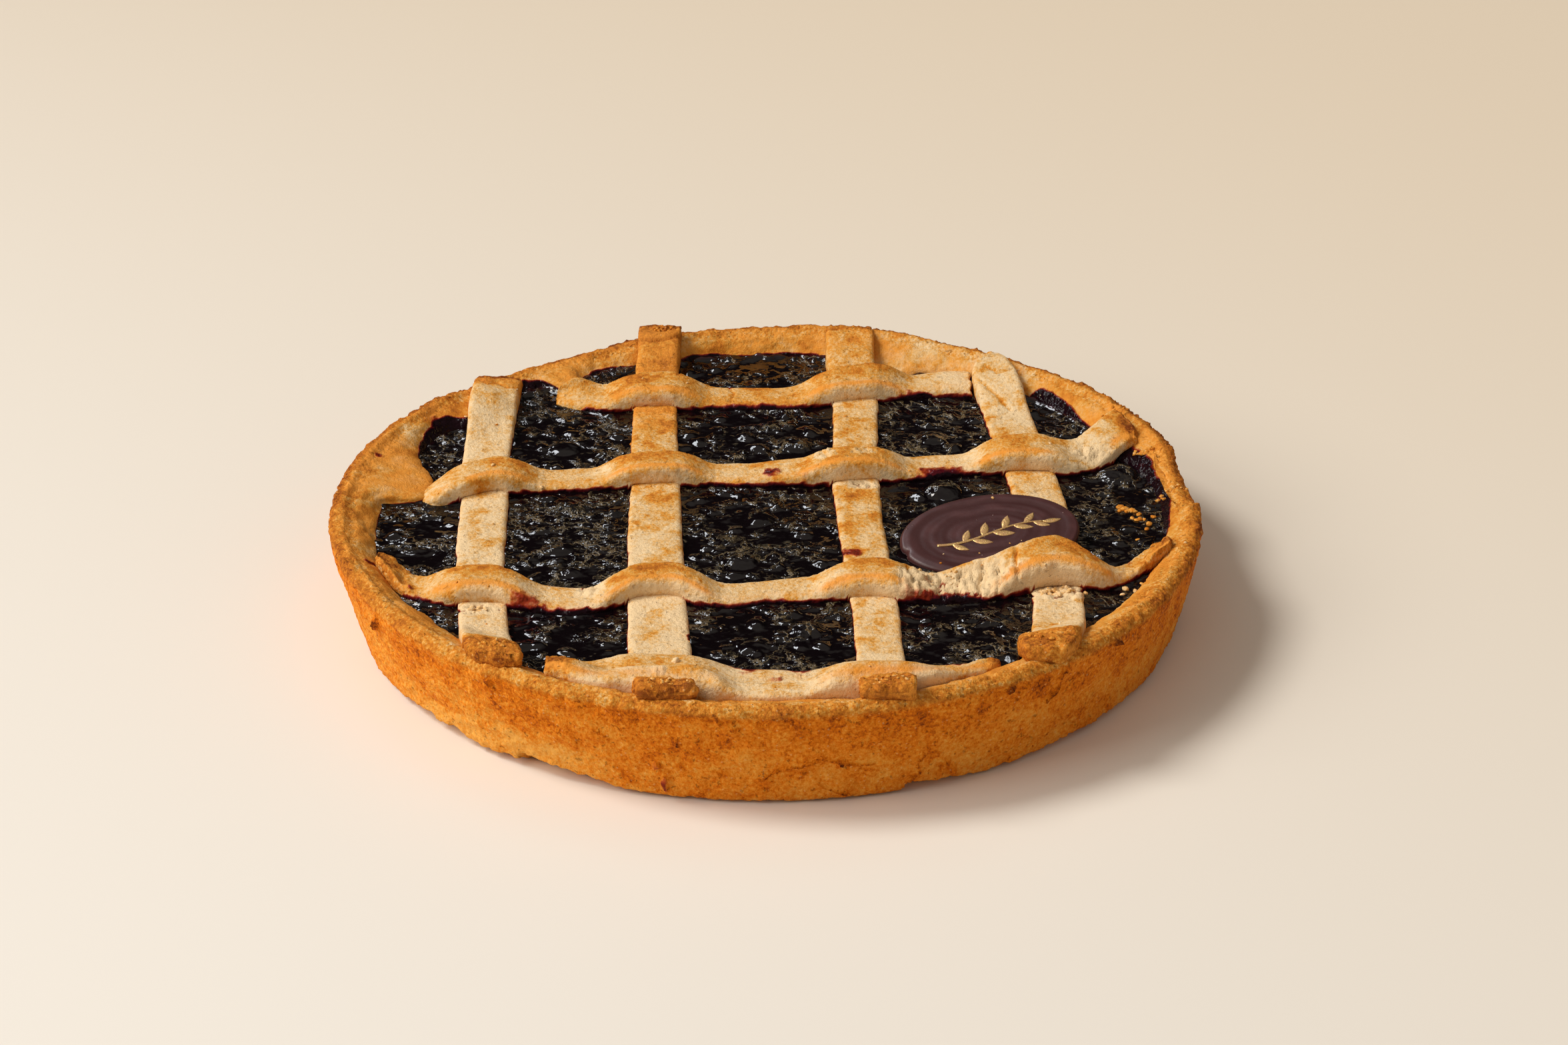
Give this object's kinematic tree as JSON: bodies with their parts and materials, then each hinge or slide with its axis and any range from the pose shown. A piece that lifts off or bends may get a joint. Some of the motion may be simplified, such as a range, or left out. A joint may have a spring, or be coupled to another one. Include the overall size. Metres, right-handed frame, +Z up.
{
  "type": "lattice jam tart",
  "caption": "Round shortcrust tart with a plain wall, dark berry jam, a lattice of pastry strips and a leaning oval chocolate plaque",
  "frame": {"origin": "middle of the flat base, on the surface that the tart stands on", "axes": "+Z up; the front of the tart, as pictured, faces -Y; +X to the picture's right"},
  "size_m": [0.2454, 0.2442, 0.0355],
  "materials": {
    "pastry": "baked shortcrust, matte and crumbly, golden brown with paler patches",
    "jam": "wet glossy berry jam, nearly black with a dark red edge",
    "chocolate": "smooth tempered chocolate, semi-gloss"
  },
  "bodies": {
    "root": {"case": "pastry", "jam": "jam", "strip_along_1": "pastry", "strip_along_2": "pastry", "strip_along_3": "pastry", "strip_along_4": "pastry", "strip_across_1": "pastry", "strip_across_2": "pastry", "strip_across_3": "pastry", "strip_across_4": "pastry", "plaque": "chocolate"}
  },
  "joints": []
}
